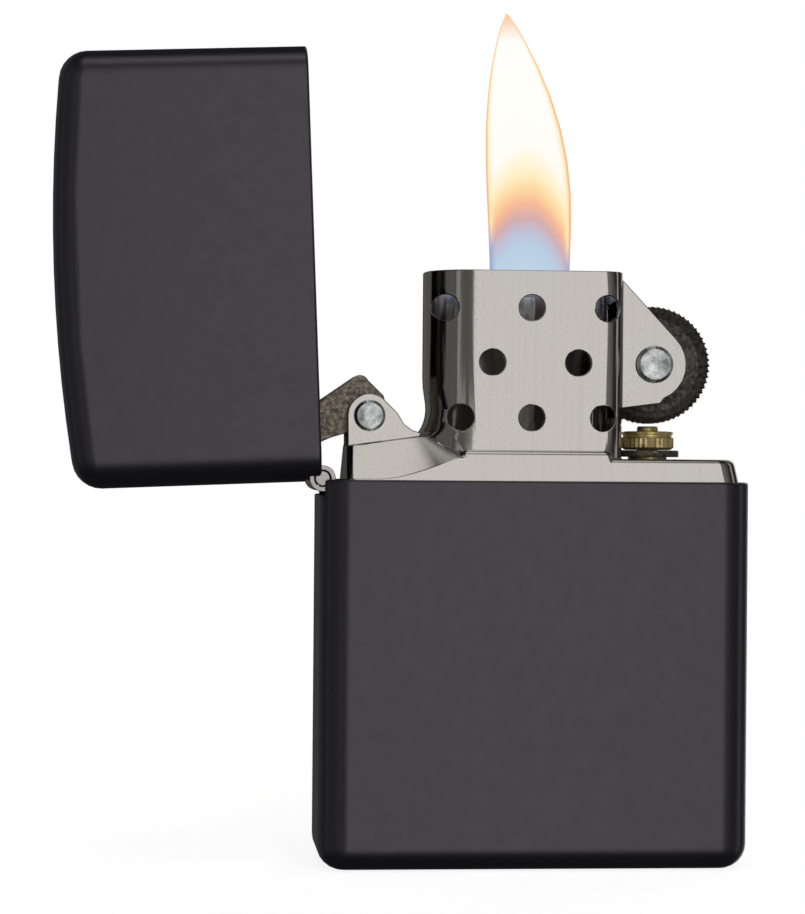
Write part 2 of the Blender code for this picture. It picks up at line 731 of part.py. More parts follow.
def packing_ball(name, x0, x1, z0, z1):
    """One wad of packing, pressed into a rounded block."""
    rings = []
    radius = 1.2
    low = edge_profile(radius, z0, 1, 3)
    high = edge_profile(radius, z1, -1, 3)[::-1]
    for inset, z in low + high:
        ring = plan_ring(x0 + inset, x1 - inset, PACK_HALF - inset, 1.8 - inset, 1.8 - inset, 3)
        rings.append([(x, y, z) for x, y in ring])
    return make_object(name, loft(rings), COTTON, 60)


def packing():
    for i, space in enumerate(PACK_SPACES):
        packing_ball(f"packing_ball_{i + 1}", *space)


def felt_pad():
    ring = plan_ring(TANK_X0 + 0.9, TANK_X1 - 0.9, TANK_HALF - 1.0, 0.8, 0.8, 3)
    low = [(x, y, FELT_Z0 + 0.4) for x, y in ring]
    high = [(x, y, FELT_Z1) for x, y in ring]
    pad = make_object("felt_pad", loft([low, high]), FELT)
    bore = SCREW_HEAD_R + 0.4
    hole = turned([(0, 0), (bore, 0), (bore, 5), (0, 5)], (FLINT_X, 0, 0), "Z", 24)
    return combine(pad, make_object("hole", hole), "DIFFERENCE")


def build():
    clear_scene()
    case_shell()
    hinge_leaf("case_hinge_leaf", up=False)
    hinge_pin()

    lid_axis = bpy.data.objects.new("lid_axis", None)
    bpy.context.collection.objects.link(lid_axis)
    lid_axis.location = Vector((HINGE_X, 0, HINGE_Z)) * MM
    for piece in (lid_shell(), hinge_leaf("lid_hinge_leaf", up=True)):
        set_origin(piece, (HINGE_X, 0, HINGE_Z))
        piece.parent = lid_axis
        piece.location = (0, 0, 0)
    lid_axis.rotation_euler = (0, -math.radians(LID_OPEN_DEG), 0)

    fuel_tank()
    chimney_top()
    cam()
    rivet("cam_rivet", CAM_X, CAM_Z, CAM_RIVET_R, CAM_RIVET_HEAD_R, CAM_EAR_OUT, 0.45, BRIGHT_STEEL)
    cam_spring()
    striker_wheel()
    rivet(
        "wheel_rivet", WHEEL_X, WHEEL_Z, WHEEL_RIVET_R, WHEEL_RIVET_HEAD_R, WHEEL_EAR_OUT, 0.5, SATIN_STEEL
    )
    flint_tube()
    flint_tube_washer()
    flint_tube_collar()
    flint()
    flint_pusher()
    flint_spring()
    flint_screw()
    wick()
    packing()
    felt_pad()


build()
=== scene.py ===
"""Looks of the flip-top lighter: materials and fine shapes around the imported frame, in a photo studio."""
import math
import random

import bmesh
import bpy
from mathutils import Matrix, Vector, noise


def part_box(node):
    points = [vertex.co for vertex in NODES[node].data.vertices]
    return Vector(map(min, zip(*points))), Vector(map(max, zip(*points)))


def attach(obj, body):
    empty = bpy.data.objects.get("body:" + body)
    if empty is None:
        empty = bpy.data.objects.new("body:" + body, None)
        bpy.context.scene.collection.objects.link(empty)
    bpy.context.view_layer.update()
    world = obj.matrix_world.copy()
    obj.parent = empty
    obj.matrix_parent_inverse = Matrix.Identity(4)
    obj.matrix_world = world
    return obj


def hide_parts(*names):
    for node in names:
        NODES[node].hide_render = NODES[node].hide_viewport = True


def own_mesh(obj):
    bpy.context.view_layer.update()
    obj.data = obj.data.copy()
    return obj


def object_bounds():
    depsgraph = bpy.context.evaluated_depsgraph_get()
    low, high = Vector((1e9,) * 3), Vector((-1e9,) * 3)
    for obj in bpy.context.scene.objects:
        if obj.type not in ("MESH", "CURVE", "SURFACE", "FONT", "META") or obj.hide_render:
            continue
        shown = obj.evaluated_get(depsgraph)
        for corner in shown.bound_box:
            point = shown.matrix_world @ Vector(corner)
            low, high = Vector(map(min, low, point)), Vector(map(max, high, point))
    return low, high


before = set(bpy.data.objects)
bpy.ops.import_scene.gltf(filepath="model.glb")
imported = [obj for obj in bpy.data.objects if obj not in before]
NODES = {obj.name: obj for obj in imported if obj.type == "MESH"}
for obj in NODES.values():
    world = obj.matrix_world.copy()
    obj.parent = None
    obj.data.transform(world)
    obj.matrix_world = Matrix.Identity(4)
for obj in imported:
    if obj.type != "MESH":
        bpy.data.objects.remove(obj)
cad_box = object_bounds()
MM = 0.001

# ---- camera, fitted to the object's outline
CAMERA_DISTANCE = 0.240
CAMERA_YAW = math.radians(5.0)
CAMERA_ROLL = math.radians(0.47)
CAMERA_TARGET = Vector((-0.01142, 0.0, 0.03617))
FOCAL_PER_WIDTH = 3.342
SENSOR_WIDTH = 36.0

# ---- studio: direction, cosine where the light starts, cosine where it is full, brightness
STUDIO_LIGHTS = (
    ((0, 0, 1), -1.01, -1.0, 0.035),
    ((0.0, -1, 0.04), 0.60, 0.86, 0.13),
    ((0, -0.27, 0.96), 0.955, 0.99, 1.25),
)
# upright strips: degrees round from the front towards +X, half width, fade, brightness
STUDIO_STRIPS = (
    (8.0, 12.0, 3.0, 1.14),
    (-34.0, 2.0, 3.0, 0.34),
    (-60.0, 12.0, 6.0, 0.14),
    (-87.0, 3.0, 4.0, 0.36),
    (-140.0, 25.0, 15.0, 0.12),
    (45.0, 14.0, 8.0, 0.10),
    (90.0, 5.0, 5.0, 0.55),
    (150.0, 12.0, 7.0, 0.75),
)
# heights, as sines, between which the strips fade out above and below
STRIP_TOP = (0.55, 0.85)
STRIP_FOOT = (-0.55, -0.34)
FLOOR_GLOW = 0.86

# ---- rounding of CAD edges
WELD_GAP = 0.002 * MM
FLAT_DEG = 0.6
BEVEL_DEG = 32.0
BEVEL_SEGMENTS = 2
FULL_WEIGHT = 100

# ---- rebuilt pieces: points closer than this are one, and angles over which faces meet sharply
SEAM_GAP = 0.0001 * MM
SOFT_DEG = 80
WHEEL_SHARP_DEG = 18
COLLAR_SHARP_DEG = 25

# ---- striker wheel: its hub stands out of a dished side, and its rim is cut into teeth
WHEEL_ROWS = 14
WHEEL_TEETH = 64
WHEEL_BORE = 0.9 * MM
WHEEL_CUT = 0.28 * MM
WHEEL_VALLEY = 0.12 * MM
WHEEL_EDGE = 0.45 * MM
WHEEL_HUB = 2.4 * MM
WHEEL_HUB_FOOT = 2.7 * MM
WHEEL_DISH = 0.35 * MM
WHEEL_RIM = (1.1 * MM, 0.35 * MM), (0.55 * MM, 0.12 * MM)
WHEEL_TONE = (0.105, 0.098, 0.088)

# ---- knurled collar: shares of radius and height, and whether the ring is knurled
COLLAR_RIDGES = 34
COLLAR_KNURL = 0.07 * MM
COLLAR_BORE = 1.15 * MM
COLLAR_SINK = 0.12 * MM
COLLAR_PROFILE = (
    (0.86, 0.0, True), (0.93, 0.06, True), (1.0, 0.14, True), (1.0, 0.62, True), (0.93, 0.72, False),
    (0.93, 0.80, False), (0.99, 0.86, False), (0.97, 0.97, False), (0.80, 1.0, False),
)

# ---- packing wads: lumps sink into a block whose sides are round to this power
WAD_CUTS = 11
WAD_POWER = 5
WAD_LUMPS = 14
WAD_LUMP_WIDTH = (0.25, 0.5)
WAD_LUMP_DEPTH = 0.10

# ---- felt
FELT_CELL = 0.32 * MM
FELT_SMOOTHING = 0.5
FELT_FUZZ = 0.05 * MM
FELT_COARSE = 2200
FELT_FINE = 5200
FELT_FINE_SHARE = 0.6

# ---- flint spring and wick
SPRING_TURNS = 13
SPRING_STEPS = 24
SPRING_WIRE = 0.16 * MM
SPRING_SIDES = 8
WICK_X = -0.8 * MM
WICK_RADIUS = 1.2 * MM
WICK_BEND = 3.6 * MM
WICK_TURN_Z = 29.2 * MM
WICK_LEFT = -10.2 * MM
WICK_RIGHT = 4.2 * MM
WICK_END = -12.0 * MM
WICK_LAY = 0.34 * MM
WICK_STRAND = 0.22 * MM
WICK_STRANDS = 6
WICK_SIDES = 48
WICK_STEP = 0.25 * MM
WICK_BEND_STEPS = 36

# ---- flame, in mm: its middle, the point under the top of its blue, and how fast the arch falls away
FLAME_STEPS = 40
FLAME_SIDES = 40
FLAME_X = -0.78
FLAME_LENGTH = 24.45
FLAME_SUNK = 1.2
FLAME_HEART_X = -0.85
FLAME_ARCH = 0.0125
FLAME_TIP = 2.6
FLAME_POINT = 0.3
# share of height: middle line's x, half width, half thickness
FLAME_OUTLINE = (
    (0.00, 0.62, 3.55, 2.7), (0.10, 0.66, 3.62, 2.8), (0.22, 0.62, 3.72, 2.9), (0.34, 0.52, 3.78, 2.9),
    (0.46, 0.30, 3.68, 2.8), (0.58, -0.02, 3.38, 2.5), (0.70, -0.42, 2.82, 2.0), (0.80, -0.80, 2.15, 1.5),
    (0.90, -1.20, 1.28, 0.9), (0.96, -1.43, 0.66, 0.5), (1.00, -1.60, 0.06, 0.05),
)

# ---- floor
FLOOR_RADIUS = 6.0
FLOOR_DROP = 0.02 * MM


# ---- node helpers

class Shader:
    """A material's node tree with short calls for the nodes used here."""

    def __init__(self, name):
        self.material = bpy.data.materials.new(name)
        self.material.use_nodes = True
        self.tree = self.material.node_tree
        self.surface = self.tree.nodes["Principled BSDF"]
        self.place = self.tree.nodes.new("ShaderNodeTexCoord").outputs["Object"]

    def link(self, source, target):
        self.tree.links.new(source, target)

    def stretched(self, scale):
        node = self.tree.nodes.new("ShaderNodeMapping")
        node.inputs["Scale"].default_value = scale
        self.link(self.place, node.inputs["Vector"])
        return node.outputs["Vector"]

    def noise(self, scale, detail=3.0, roughness=0.55, vector=None):
        node = self.tree.nodes.new("ShaderNodeTexNoise")
        node.inputs["Scale"].default_value = scale
        node.inputs["Detail"].default_value = detail
        node.inputs["Roughness"].default_value = roughness
        self.link(vector or self.place, node.inputs["Vector"])
        return node.outputs["Fac"]

    def ramp(self, value, stops):
        node = self.tree.nodes.new("ShaderNodeValToRGB")
        ramp = node.color_ramp
        while len(ramp.elements) < len(stops):
            ramp.elements.new(0.5)
        for element, (position, color) in zip(ramp.elements, stops):
            element.position = position
            element.color = (*color, 1.0)
        self.link(value, node.inputs["Fac"])
        return node.outputs["Color"]

    def remap(self, value, low, high, to_low=0.0, to_high=1.0):
        node = self.tree.nodes.new("ShaderNodeMapRange")
        node.inputs["From Min"].default_value = low
        node.inputs["From Max"].default_value = high
        node.inputs["To Min"].default_value = to_low
        node.inputs["To Max"].default_value = to_high
        self.link(value, node.inputs["Value"])
        return node.outputs["Result"]

    def mix(self, factor, first, second, blend="MIX"):
        node = self.tree.nodes.new("ShaderNodeMix")
        node.data_type = "RGBA"
        node.blend_type = blend
        for socket, value in zip((0, 6, 7), (factor, first, second)):
            if isinstance(value, (int, float)):
                node.inputs[socket].default_value = value
            elif isinstance(value, tuple):
                node.inputs[socket].default_value = (*value, 1.0)
            else:
                self.link(value, node.inputs[socket])
        return node.outputs[2]

    def math(self, operation, first, second):
        node = self.tree.nodes.new("ShaderNodeMath")
        node.operation = operation
        for socket, value in zip(node.inputs, (first, second)):
            if isinstance(value, (int, float)):
                socket.default_value = value
            else:
                self.link(value, socket)
        return node.outputs[0]

    def bump(self, height, distance, strength=1.0):
        """Adds a layer of bump, in metres, over any that is already there."""
        node = self.tree.nodes.new("ShaderNodeBump")
        node.inputs["Strength"].default_value = strength
        node.inputs["Distance"].default_value = distance
        self.link(height, node.inputs["Height"])
        normal = self.surface.inputs["Normal"]
        if normal.is_linked:
            self.link(normal.links[0].from_socket, node.inputs["Normal"])
        self.link(node.outputs["Normal"], normal)

    def color(self, value):
        self.link(value, self.surface.inputs["Base Color"])

    def roughness(self, value):
        self.link(value, self.surface.inputs["Roughness"])

    def metal(self, amount=1.0):
        self.surface.inputs["Metallic"].default_value = amount


# ---- materials

def black_enamel():
    s = Shader("black_enamel")
    clouds = s.noise(140, 4)
    grain = s.noise(5200, 2)
    base = s.ramp(clouds, ((0.35, (0.013, 0.0125, 0.017)), (0.65, (0.017, 0.0165, 0.022))))
    s.color(s.mix(s.remap(grain, 0.4, 0.7, 0, 0.35), base, (0.026, 0.025, 0.032)))
    s.roughness(s.remap(s.noise(900, 3), 0.3, 0.7, 0.30, 0.34))
    s.surface.inputs["Specular IOR Level"].default_value = 1.0
    s.surface.inputs["Specular Tint"].default_value = (0.94, 0.88, 1.0, 1.0)
    s.bump(grain, 0.000012, 0.5)
    s.bump(s.noise(700, 2), 0.00002, 0.06)
    return s.material


def nickel(name="nickel", tone=(0.535, 0.507, 0.478), rough=(0.10, 0.16), grain_depth=0.000002):
    s = Shader(name)
    speckle = s.noise(8000, 2)
    streak = s.noise(1.0, 3, vector=s.stretched((2600, 2600, 60)))
    warm = s.noise(160, 3)
    dark = tuple(c * 0.74 for c in tone)
    base = s.ramp(warm, ((0.35, tone), (0.7, (tone[0], tone[1] * 0.985, tone[2] * 0.96))))
    base = s.mix(s.remap(speckle, 0.53, 0.75, 0, 0.6), base, dark)
    s.color(s.mix(s.remap(streak, 0.5, 0.8, 0, 0.25), base, dark))
    s.metal()
    s.roughness(s.remap(speckle, 0.3, 0.7, *rough))
    s.bump(speckle, grain_depth, 0.5)
    s.bump(streak, 0.000003, 0.3)
    return s.material


def sintered(name, tone, depth=0.00004):
    """Dark, pitted, speckled steel."""
    s = Shader(name)
    pits = s.noise(2600, 4, 0.7)
    blotch = s.noise(600, 3)
    light = tuple(min(1.0, c * 2.1) for c in tone)
    base = s.ramp(pits, ((0.38, tuple(c * 0.45 for c in tone)), (0.5, tone), (0.68, light)))
    s.color(s.mix(s.remap(blotch, 0.45, 0.7, 0, 0.5), base, tone))
    s.metal(0.7)
    s.roughness(s.remap(pits, 0.3, 0.7, 0.62, 0.42))
    s.bump(pits, depth, 0.7)
    return s.material


def tarnished_brass():
    s = Shader("tarnished_brass")
    grime = s.noise(1500, 4, 0.65)
    turned = s.noise(1.0, 2, vector=s.stretched((300, 300, 9000)))
    base = s.ramp(grime, (
        (0.28, (0.22, 0.14, 0.05)), (0.40, (0.85, 0.62, 0.24)), (0.58, (1.0, 0.86, 0.46)),
    ))
    s.color(s.mix(s.remap(turned, 0.4, 0.7, 0, 0.3), base, (0.30, 0.20, 0.08)))
    s.metal(0.85)
    s.roughness(s.remap(grime, 0.3, 0.7, 0.55, 0.28))
    s.bump(turned, 0.00001, 0.4)
    return s.material


def rivet_steel():
    s = Shader("rivet_steel")
    mottle = s.noise(1400, 5, 0.7)
    s.color(s.ramp(mottle, (
        (0.33, (0.34, 0.355, 0.355)), (0.5, (0.60, 0.62, 0.61)), (0.66, (0.82, 0.83, 0.82)),
    )))
    s.metal()
    s.roughness(s.remap(mottle, 0.3, 0.7, 0.42, 0.26))
    s.bump(mottle, 0.00001, 0.5)
    return s.material


def fibre(name, tone, scale):
    s = Shader(name)
    strands = s.noise(scale, 5, 0.75)
    matted = s.noise(scale * 0.2, 3)
    dark = tuple(c * 0.6 for c in tone)
    s.color(s.mix(s.remap(matted, 0.3, 0.7, 0, 0.5), s.ramp(strands, ((0.35, dark), (0.6, tone))), tone))
    s.roughness(s.remap(strands, 0.3, 0.7, 0.9, 1.0))
    s.surface.inputs["Sheen Weight"].default_value = 0.3
    s.bump(strands, 0.0001, 0.8)
    return s.material


def flame_glow(low, high):
    """The flame's own light: blue at the root, then rose, then yellow-white with an orange rim."""
    s = Shader("flame_glow")
    split = s.tree.nodes.new("ShaderNodeSeparateXYZ")
    s.link(s.place, split.inputs["Vector"])
    # the blue reaches highest near the middle, so each colour's edge is an arch
    aside = s.math("DIVIDE", s.math("SUBTRACT", split.outputs["X"], FLAME_HEART_X * MM), MM)
    arch = s.math("MULTIPLY", s.math("MULTIPLY", aside, aside), FLAME_ARCH)
    wisps = s.remap(s.noise(220, 2, vector=s.stretched((1.0, 1.0, 0.35))), 0.3, 0.7, -0.02, 0.02)
    height = s.math("ADD", s.remap(split.outputs["Z"], low, high), s.math("ADD", arch, wisps))
    body = s.ramp(height, (
        (0.00, (0.50, 0.66, 0.79)), (0.10, (0.48, 0.62, 0.78)), (0.155, (0.52, 0.54, 0.68)),
        (0.21, (0.66, 0.42, 0.44)), (0.27, (0.92, 0.49, 0.31)), (0.33, (0.98, 0.70, 0.36)),
        (0.40, (1.0, 0.88, 0.60)), (0.50, (1.0, 0.98, 0.92)), (0.98, (1.0, 1.0, 0.97)),
    ))
    glow = s.ramp(height, (
        (0.00, (0.34, 0.50, 0.76)), (0.20, (0.40, 0.46, 0.66)), (0.30, (1.0, 0.80, 0.48)),
        (0.90, (1.0, 0.90, 0.62)), (1.20, (1.0, 0.76, 0.44)),
    ))
    rim = s.ramp(height, (
        (0.00, (0.22, 0.38, 0.68)), (0.20, (0.36, 0.38, 0.58)), (0.30, (0.93, 0.48, 0.25)),
        (1.00, (0.96, 0.50, 0.24)),
    ))
    facing = s.tree.nodes.new("ShaderNodeLayerWeight")
    facing.inputs["Blend"].default_value = 0.5
    away = facing.outputs["Facing"]
    color = s.mix(s.remap(away, 0.34, 0.54), body, glow)
    color = s.mix(s.remap(away, 0.55, 0.72), color, rim)
    # the last of the tip is orange right through
    tip = s.remap(split.outputs["Z"], high - FLAME_TIP * MM, high)
    s.link(s.mix(tip, color, (0.97, 0.56, 0.30)), s.surface.inputs["Emission Color"])
    s.surface.inputs["Emission Strength"].default_value = 1.0
    s.surface.inputs["Base Color"].default_value = (0, 0, 0, 1)
    s.surface.inputs["Specular IOR Level"].default_value = 0.0
    alpha = s.ramp(height, ((0.0, (0.80,) * 3), (0.14, (0.90,) * 3), (0.24, (1.0,) * 3)))
    s.link(alpha, s.surface.inputs["Alpha"])
    return s.material


# ---- mesh helpers

def finish_mesh(name, bm, material, body, smooth_deg=35.0):
    bmesh.ops.recalc_face_normals(bm, faces=bm.faces)
    mesh = bpy.data.meshes.new(name)
    bm.to_mesh(mesh)
    bm.free()
    mesh.shade_smooth()
    mesh.set_sharp_from_angle(angle=math.radians(smooth_deg))
    mesh.materials.append(material)
    obj = bpy.data.objects.new(name, mesh)
    bpy.context.scene.collection.objects.link(obj)
    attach(obj, body)
    return obj


def ring_point(center, radius, angle, z):
    """A point of a level ring round a center."""
    return Vector((center.x + radius * math.cos(angle), center.y + radius * math.sin(angle), z))


def skin(rows, ends=True):
    """Joins rows of points, each a closed ring, into a tube."""
    bm = bmesh.new()
    rings = [[bm.verts.new(p) for p in row] for row in rows]
    for low, high in zip(rings, rings[1:]):
        for i in range(len(low)):
            j = (i + 1) % len(low)
            bm.faces.new((low[i], low[j], high[j], high[i]))
    if ends:
        bm.faces.new(rings[0])
        bm.faces.new(rings[-1][::-1])
    return bm


def closed(rows):
    """Joins rows of points into a ring-shaped solid, the last row to the first."""
    bm = skin(rows + [rows[0]], ends=False)
    bmesh.ops.remove_doubles(bm, verts=bm.verts, dist=SEAM_GAP)
    return bm


def paint(node, material):
    """Gives a CAD node a finished material."""
    obj = NODES[node]
    obj.data.materials.clear()
    obj.data.materials.append(material)


def soften(node, width):
    """Rounds a CAD node's sharp edges, after joining the corners that the file keeps apart.

    Known fault: on chimney_top, whole_flats and soft_edges together leave a false face over the
    open end of the wheel slot.
    """
    obj = NODES[node]
    weld = obj.modifiers.new("join_corners", "WELD")
    weld.merge_threshold = WELD_GAP
    flats = obj.modifiers.new("whole_flats", "DECIMATE")
    flats.decimate_type = "DISSOLVE"
    flats.angle_limit = math.radians(FLAT_DEG)
    bevel = obj.modifiers.new("soft_edges", "BEVEL")
    bevel.width = width
    bevel.segments = BEVEL_SEGMENTS
    bevel.limit_method = "ANGLE"
    bevel.angle_limit = math.radians(BEVEL_DEG)
    # clamping would thin all the chimney's bevels to suit its closest edges
    bevel.use_clamp_overlap = node != "chimney_top"
    bevel.harden_normals = False
    normal = obj.modifiers.new("face_weight", "WEIGHTED_NORMAL")
    normal.keep_sharp = False
    normal.weight = FULL_WEIGHT


# ---- pieces rebuilt more finely than the frame

def striker_wheel():
    """The wheel with its cross-cut teeth: rows of small pyramids, each row turned half a tooth."""
    low, high = (Vector(c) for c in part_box("striker_wheel"))
    center = (low + high) / 2
    radius = (high.z - low.z) / 2
    half = (high.y - low.y) / 2
    band = half - WHEEL_EDGE

    def ring(r, y, cut=0.0, phase=0.0):
        row = []
        for i in range(2 * WHEEL_TEETH):
            angle = math.pi * (i + phase) / WHEEL_TEETH
            reach = r - (cut if i % 2 else 0.0)
            row.append(center + Vector((reach * math.cos(angle), y, reach * math.sin(angle))))
        return row

    # radius, and distance in from the side, from the bore out to the teeth
    side = [(WHEEL_BORE, 0.0), (WHEEL_HUB, 0.0), (WHEEL_HUB_FOOT, WHEEL_DISH)]
    side += [(radius - inward, sunk) for inward, sunk in WHEEL_RIM]
    rows = [ring(r, -half + sunk) for r, sunk in side]
    for k in range(WHEEL_ROWS):
        y = -band + 2 * band * k / (WHEEL_ROWS - 1)
        valley = WHEEL_VALLEY if k % 2 else 0.0
        rows.append(ring(radius - valley, y, WHEEL_CUT, 0.5 * k))
    rows += [ring(r, half - sunk) for r, sunk in reversed(side)]
    steel = sintered("striker_steel", WHEEL_TONE)
    wheel = finish_mesh("striker_wheel_cut", closed(rows), steel, "striker", WHEEL_SHARP_DEG)
    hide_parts("striker_wheel")


def collar():
    """The brass collar with its fine knurling, a groove under the rim and a chamfered mouth."""
    low, high = (Vector(c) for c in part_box("flint_tube_collar"))
    low.z -= COLLAR_SINK
    center = (low + high) / 2
    radius = (high.x - low.x) / 2

    def ring(r, z, cut=0.0):
        return [
            ring_point(center, r - (cut if i % 2 else 0.0), math.pi * i / COLLAR_RIDGES, z)
            for i in range(2 * COLLAR_RIDGES)
        ]

    rows = [
        ring(radius * reach, low.z + (high.z - low.z) * rise, COLLAR_KNURL if knurled else 0.0)
        for reach, rise, knurled in COLLAR_PROFILE
    ]
    rows += [ring(COLLAR_BORE, z) for z in (high.z, low.z)]
    brass = MATERIALS["brass"]
    piece = finish_mesh("flint_collar_knurled", closed(rows), brass, "insert", COLLAR_SHARP_DEG)
    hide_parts("flint_tube_collar")


def wad(name):
    """A wad of packing: the frame's block, subdivided and roughened into loose fibre."""
    low, high = (Vector(c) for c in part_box(name))
    center, reach = (low + high) / 2, (high - low) / 2
    bm = bmesh.new()
    bmesh.ops.create_cube(bm, size=2.0)
    bmesh.ops.subdivide_edges(bm, edges=bm.edges, cuts=WAD_CUTS, use_grid_fill=True)
    dice = random.Random(name)
    lumps = [
        (Vector([dice.uniform(-1, 1) for _ in range(3)]), dice.uniform(*WAD_LUMP_WIDTH))
        for _ in range(WAD_LUMPS)
    ]
    for vert in bm.verts:
        p = vert.co.copy()
        # a superellipsoid, which is a block with round sides
        size = sum(abs(c) ** WAD_POWER for c in p) ** (1 / WAD_POWER)
        p /= size
        sink = sum(WAD_LUMP_DEPTH * math.exp(-((p - q).length / w) ** 2) for q, w in lumps)
        p *= 1 - sink
        vert.co = center + Vector((p.x * reach.x, p.y * reach.y, p.z * reach.z))
    piece = finish_mesh(name + "_wad", bm, MATERIALS["cotton"], "insert", SOFT_DEG)
    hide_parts(name)


def felt():
    """The felt pad: the frame's pad remade in small facets, its faces fuzzed and its edges rounded."""
    source = NODES["felt_pad"]
    rough = bpy.data.objects.new("felt_rough", source.data.copy())
    rough.matrix_world = source.matrix_world.copy()
    bpy.context.scene.collection.objects.link(rough)
    cells = rough.modifiers.new("cells", "REMESH")
    cells.mode = "VOXEL"
    cells.voxel_size = FELT_CELL
    bpy.context.view_layer.update()
    shape = rough.evaluated_get(bpy.context.evaluated_depsgraph_get())
    bm = bmesh.new()
    bm.from_mesh(shape.to_mesh())
    bmesh.ops.transform(bm, matrix=source.matrix_world, verts=bm.verts)
    bpy.data.objects.remove(rough, do_unlink=True)
    bmesh.ops.smooth_vert(
        bm, verts=bm.verts, factor=FELT_SMOOTHING, use_axis_x=True, use_axis_y=True, use_axis_z=True,
    )
    bm.normal_update()
    for vert in bm.verts:
        coarse, fine = noise.noise(vert.co * FELT_COARSE), noise.noise(vert.co * FELT_FINE)
        vert.co -= vert.normal * FELT_FUZZ * (1 + coarse + FELT_FINE_SHARE * fine)
    piece = finish_mesh("felt_pad_pressed", bm, MATERIALS["felt"], "insert", SOFT_DEG)
    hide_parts("felt_pad")


def rod(points, radius, sides, braid=None):
    """A round rod along points, its surface drawn in where braid(distance, angle) says so."""
    rows = []
    side = Vector((0, 1, 0))
    run = 0.0
    for i, point in enumerate(points):
        along = (points[min(i + 1, len(points) - 1)] - points[max(i - 1, 0)]).normalized()
        side = (side - along * side.dot(along)).normalized()
        other = along.cross(side)
        if i:
            run += (point - points[i - 1]).length
        row = []
        for k in range(sides):
            angle = 2 * math.pi * k / sides
            reach = radius - (braid(run, angle) if braid else 0.0)
            row.append(point + (side * math.cos(angle) + other * math.sin(angle)) * reach)
        rows.append(row)
    return skin(rows)


def flint_coil():
    """The flint spring as a fine coil, carried by the insert."""
    low, high = (Vector(c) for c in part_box("flint_spring"))
    center = (low + high) / 2
    radius = (high.x - low.x) / 2 - SPRING_WIRE
    bottom, top = low.z + SPRING_WIRE, high.z - SPRING_WIRE
    steps = SPRING_TURNS * SPRING_STEPS
    points = []
    for i in range(steps + 1):
        angle = 2 * math.pi * i / SPRING_STEPS
        points.append(ring_point(center, radius, angle, bottom + (top - bottom) * i / steps))
    bm = rod(points, SPRING_WIRE, SPRING_SIDES)
    piece = finish_mesh("flint_spring_coil", bm, MATERIALS["spring"], "insert", SOFT_DEG)
    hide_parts("flint_spring")
    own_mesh(piece)


def braided_wick():
    """The wick: crossing strands braided round a core, from the flame down through the packing."""
    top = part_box("wick")[1][2]
    bend = WICK_BEND
    path = [(WICK_X, top - WICK_STEP * i) for i in range(int((top - WICK_TURN_Z) / WICK_STEP))]

    def turn(x, z, start, end):
        """Points round a bend, in place of a sharp corner."""
        for i in range(WICK_BEND_STEPS + 1):
            angle = math.radians(start + (end - start) * i / WICK_BEND_STEPS)
            path.append((x + bend * math.cos(angle), z + bend * math.sin(angle)))

    def straight(x):
        """Points along the level run to x."""
        start_x, z = path[-1]
        count = int(abs(x - start_x) / WICK_STEP)
        path.extend((start_x + (x - start_x) * i / count, z) for i in range(1, count))

    turn(WICK_X - bend, WICK_TURN_Z, 0, -90)
    straight(WICK_LEFT)
    turn(WICK_LEFT, WICK_TURN_Z - 2 * bend, 90, 270)
    straight(WICK_RIGHT)
    turn(WICK_RIGHT, WICK_TURN_Z - 4 * bend, 90, -90)
    straight(WICK_END)

    def braid(run, angle):
        twist = run / WICK_LAY
        strand = max(math.sin(WICK_STRANDS * angle + twist), math.sin(WICK_STRANDS * angle - twist))
        return WICK_STRAND * (1 - strand) / 2

    points = [Vector((x, 0, z)) for x, z in path]
    bm = rod(points, WICK_RADIUS, WICK_SIDES, braid)
    piece = finish_mesh("wick_braided", bm, MATERIALS["cotton"], "insert", SOFT_DEG)
    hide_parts("wick")


def flame():
    """The lit flame, a leaf shape leaning a little, carried by the insert."""
    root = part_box("chimney_top")[1][2] - FLAME_SUNK * MM
    tip = root + FLAME_LENGTH * MM
    rows = []
    for k in range(FLAME_STEPS + 1):
        share = k / FLAME_STEPS
        pairs = zip(FLAME_OUTLINE, FLAME_OUTLINE[1:])
        (s0, *a), (s1, *b) = next(pair for pair in pairs if share <= pair[1][0] + 1e-9)
        t = (share - s0) / (s1 - s0)
        x, wide, thick = (p + (q - p) * t for p, q in zip(a, b))
        z = root + (tip - root) * share
        rows.append([
            Vector((
                (FLAME_X + x + wide * math.cos(2 * math.pi * j / FLAME_SIDES)) * MM,
                thick * math.sin(2 * math.pi * j / FLAME_SIDES) * MM,
                z,
            ))
            for j in range(FLAME_SIDES)
        ])
    bm = skin(rows)
    below_point = [v for v in bm.verts if v.co.z < tip - FLAME_POINT * MM]
    bmesh.ops.smooth_vert(bm, verts=below_point, factor=0.5)
    piece = finish_mesh("flame", bm, flame_glow(root + FLAME_SUNK * MM, tip), "insert", SOFT_DEG)
    piece.visible_shadow = False
    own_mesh(piece)


# ---- stage

